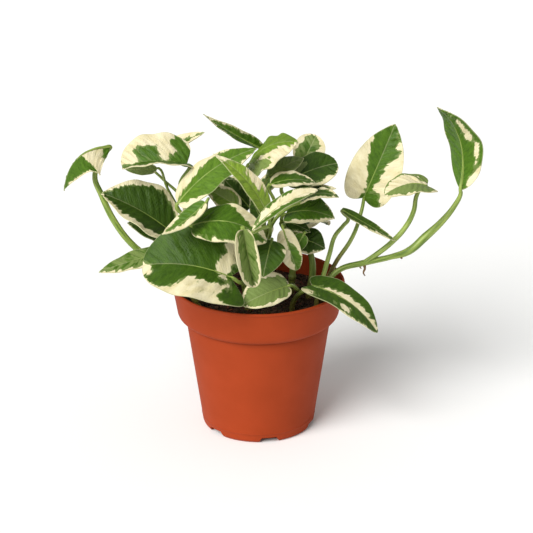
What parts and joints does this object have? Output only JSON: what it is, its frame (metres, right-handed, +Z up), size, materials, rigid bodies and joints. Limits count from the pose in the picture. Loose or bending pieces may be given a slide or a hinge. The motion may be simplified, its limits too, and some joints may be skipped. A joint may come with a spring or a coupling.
{
  "type": "potted pothos plant",
  "caption": "Trailing pothos with broad green and cream leaves on upright and trailing stems, rooted in compost in a round plastic nursery pot.",
  "frame": {"origin": "centre of the pot's underside, on the surface it stands on", "axes": "+Z up along the pot's axis, +X to the viewer's right, -Y towards the viewer, so the trailing vine reaches towards +X"},
  "size_m": [0.2471, 0.1419, 0.2013],
  "materials": {
    "pot": "satin moulded terracotta-coloured plastic",
    "soil": "crumbly dark compost",
    "stem": "smooth green plant stem, satin",
    "leaf": "waxy leaf, green with cream margins"
  },
  "bodies": {
    "root": {"pot": "pot", "soil": "soil", "vine_left": "stem", "vine_front": "stem", "vine_centre": "stem", "vine_right": "stem", "stalk_left_far": "stem", "stalk_right_heart": "stem", "stalk_right_narrow": "stem", "stalk_right_low": "stem", "stalk_right_round": "stem", "trailing_vine": "stem", "leaf_left_far": "leaf", "leaf_left_hood": "leaf", "leaf_left_hood_low": "leaf", "leaf_left_back_tip": "leaf", "leaf_top_left_spear": "leaf", "leaf_left_broad": "leaf", "leaf_left_under": "leaf", "leaf_low_left_point": "leaf", "leaf_front_left_broad": "leaf", "leaf_small_over_left": "leaf", "leaf_centre_front": "leaf", "leaf_front_narrow": "leaf", "leaf_front_low": "leaf", "leaf_front_low_back": "leaf", "leaf_cream_strip": "leaf", "leaf_centre_fold": "leaf", "leaf_cream_hanging": "leaf", "leaf_centre_curl": "leaf", "leaf_centre_left": "leaf", "leaf_top_centre": "leaf", "leaf_top_right_round": "leaf", "leaf_right_dark": "leaf", "leaf_right_dark_left": "leaf", "leaf_right_edge": "leaf", "leaf_right_spear": "leaf", "leaf_right_mid_high": "leaf", "leaf_right_mid_tip": "leaf", "leaf_right_mid_low": "leaf", "leaf_right_low_dark": "leaf", "leaf_right_round": "leaf", "leaf_right_round_left": "leaf", "leaf_right_low": "leaf", "leaf_right_heart": "leaf", "leaf_right_level": "leaf", "leaf_right_narrow": "leaf", "leaf_far_right": "leaf", "leaf_behind_mid_a": "leaf", "leaf_behind_mid_b": "leaf", "leaf_behind_low": "leaf", "leaf_cream_small": "leaf", "leaf_back_left": "leaf", "leaf_back_low_left": "leaf", "leaf_back_centre": "leaf", "leaf_back_right": "leaf", "leaf_back_high": "leaf", "leaf_back_high_left": "leaf"}
  },
  "joints": []
}
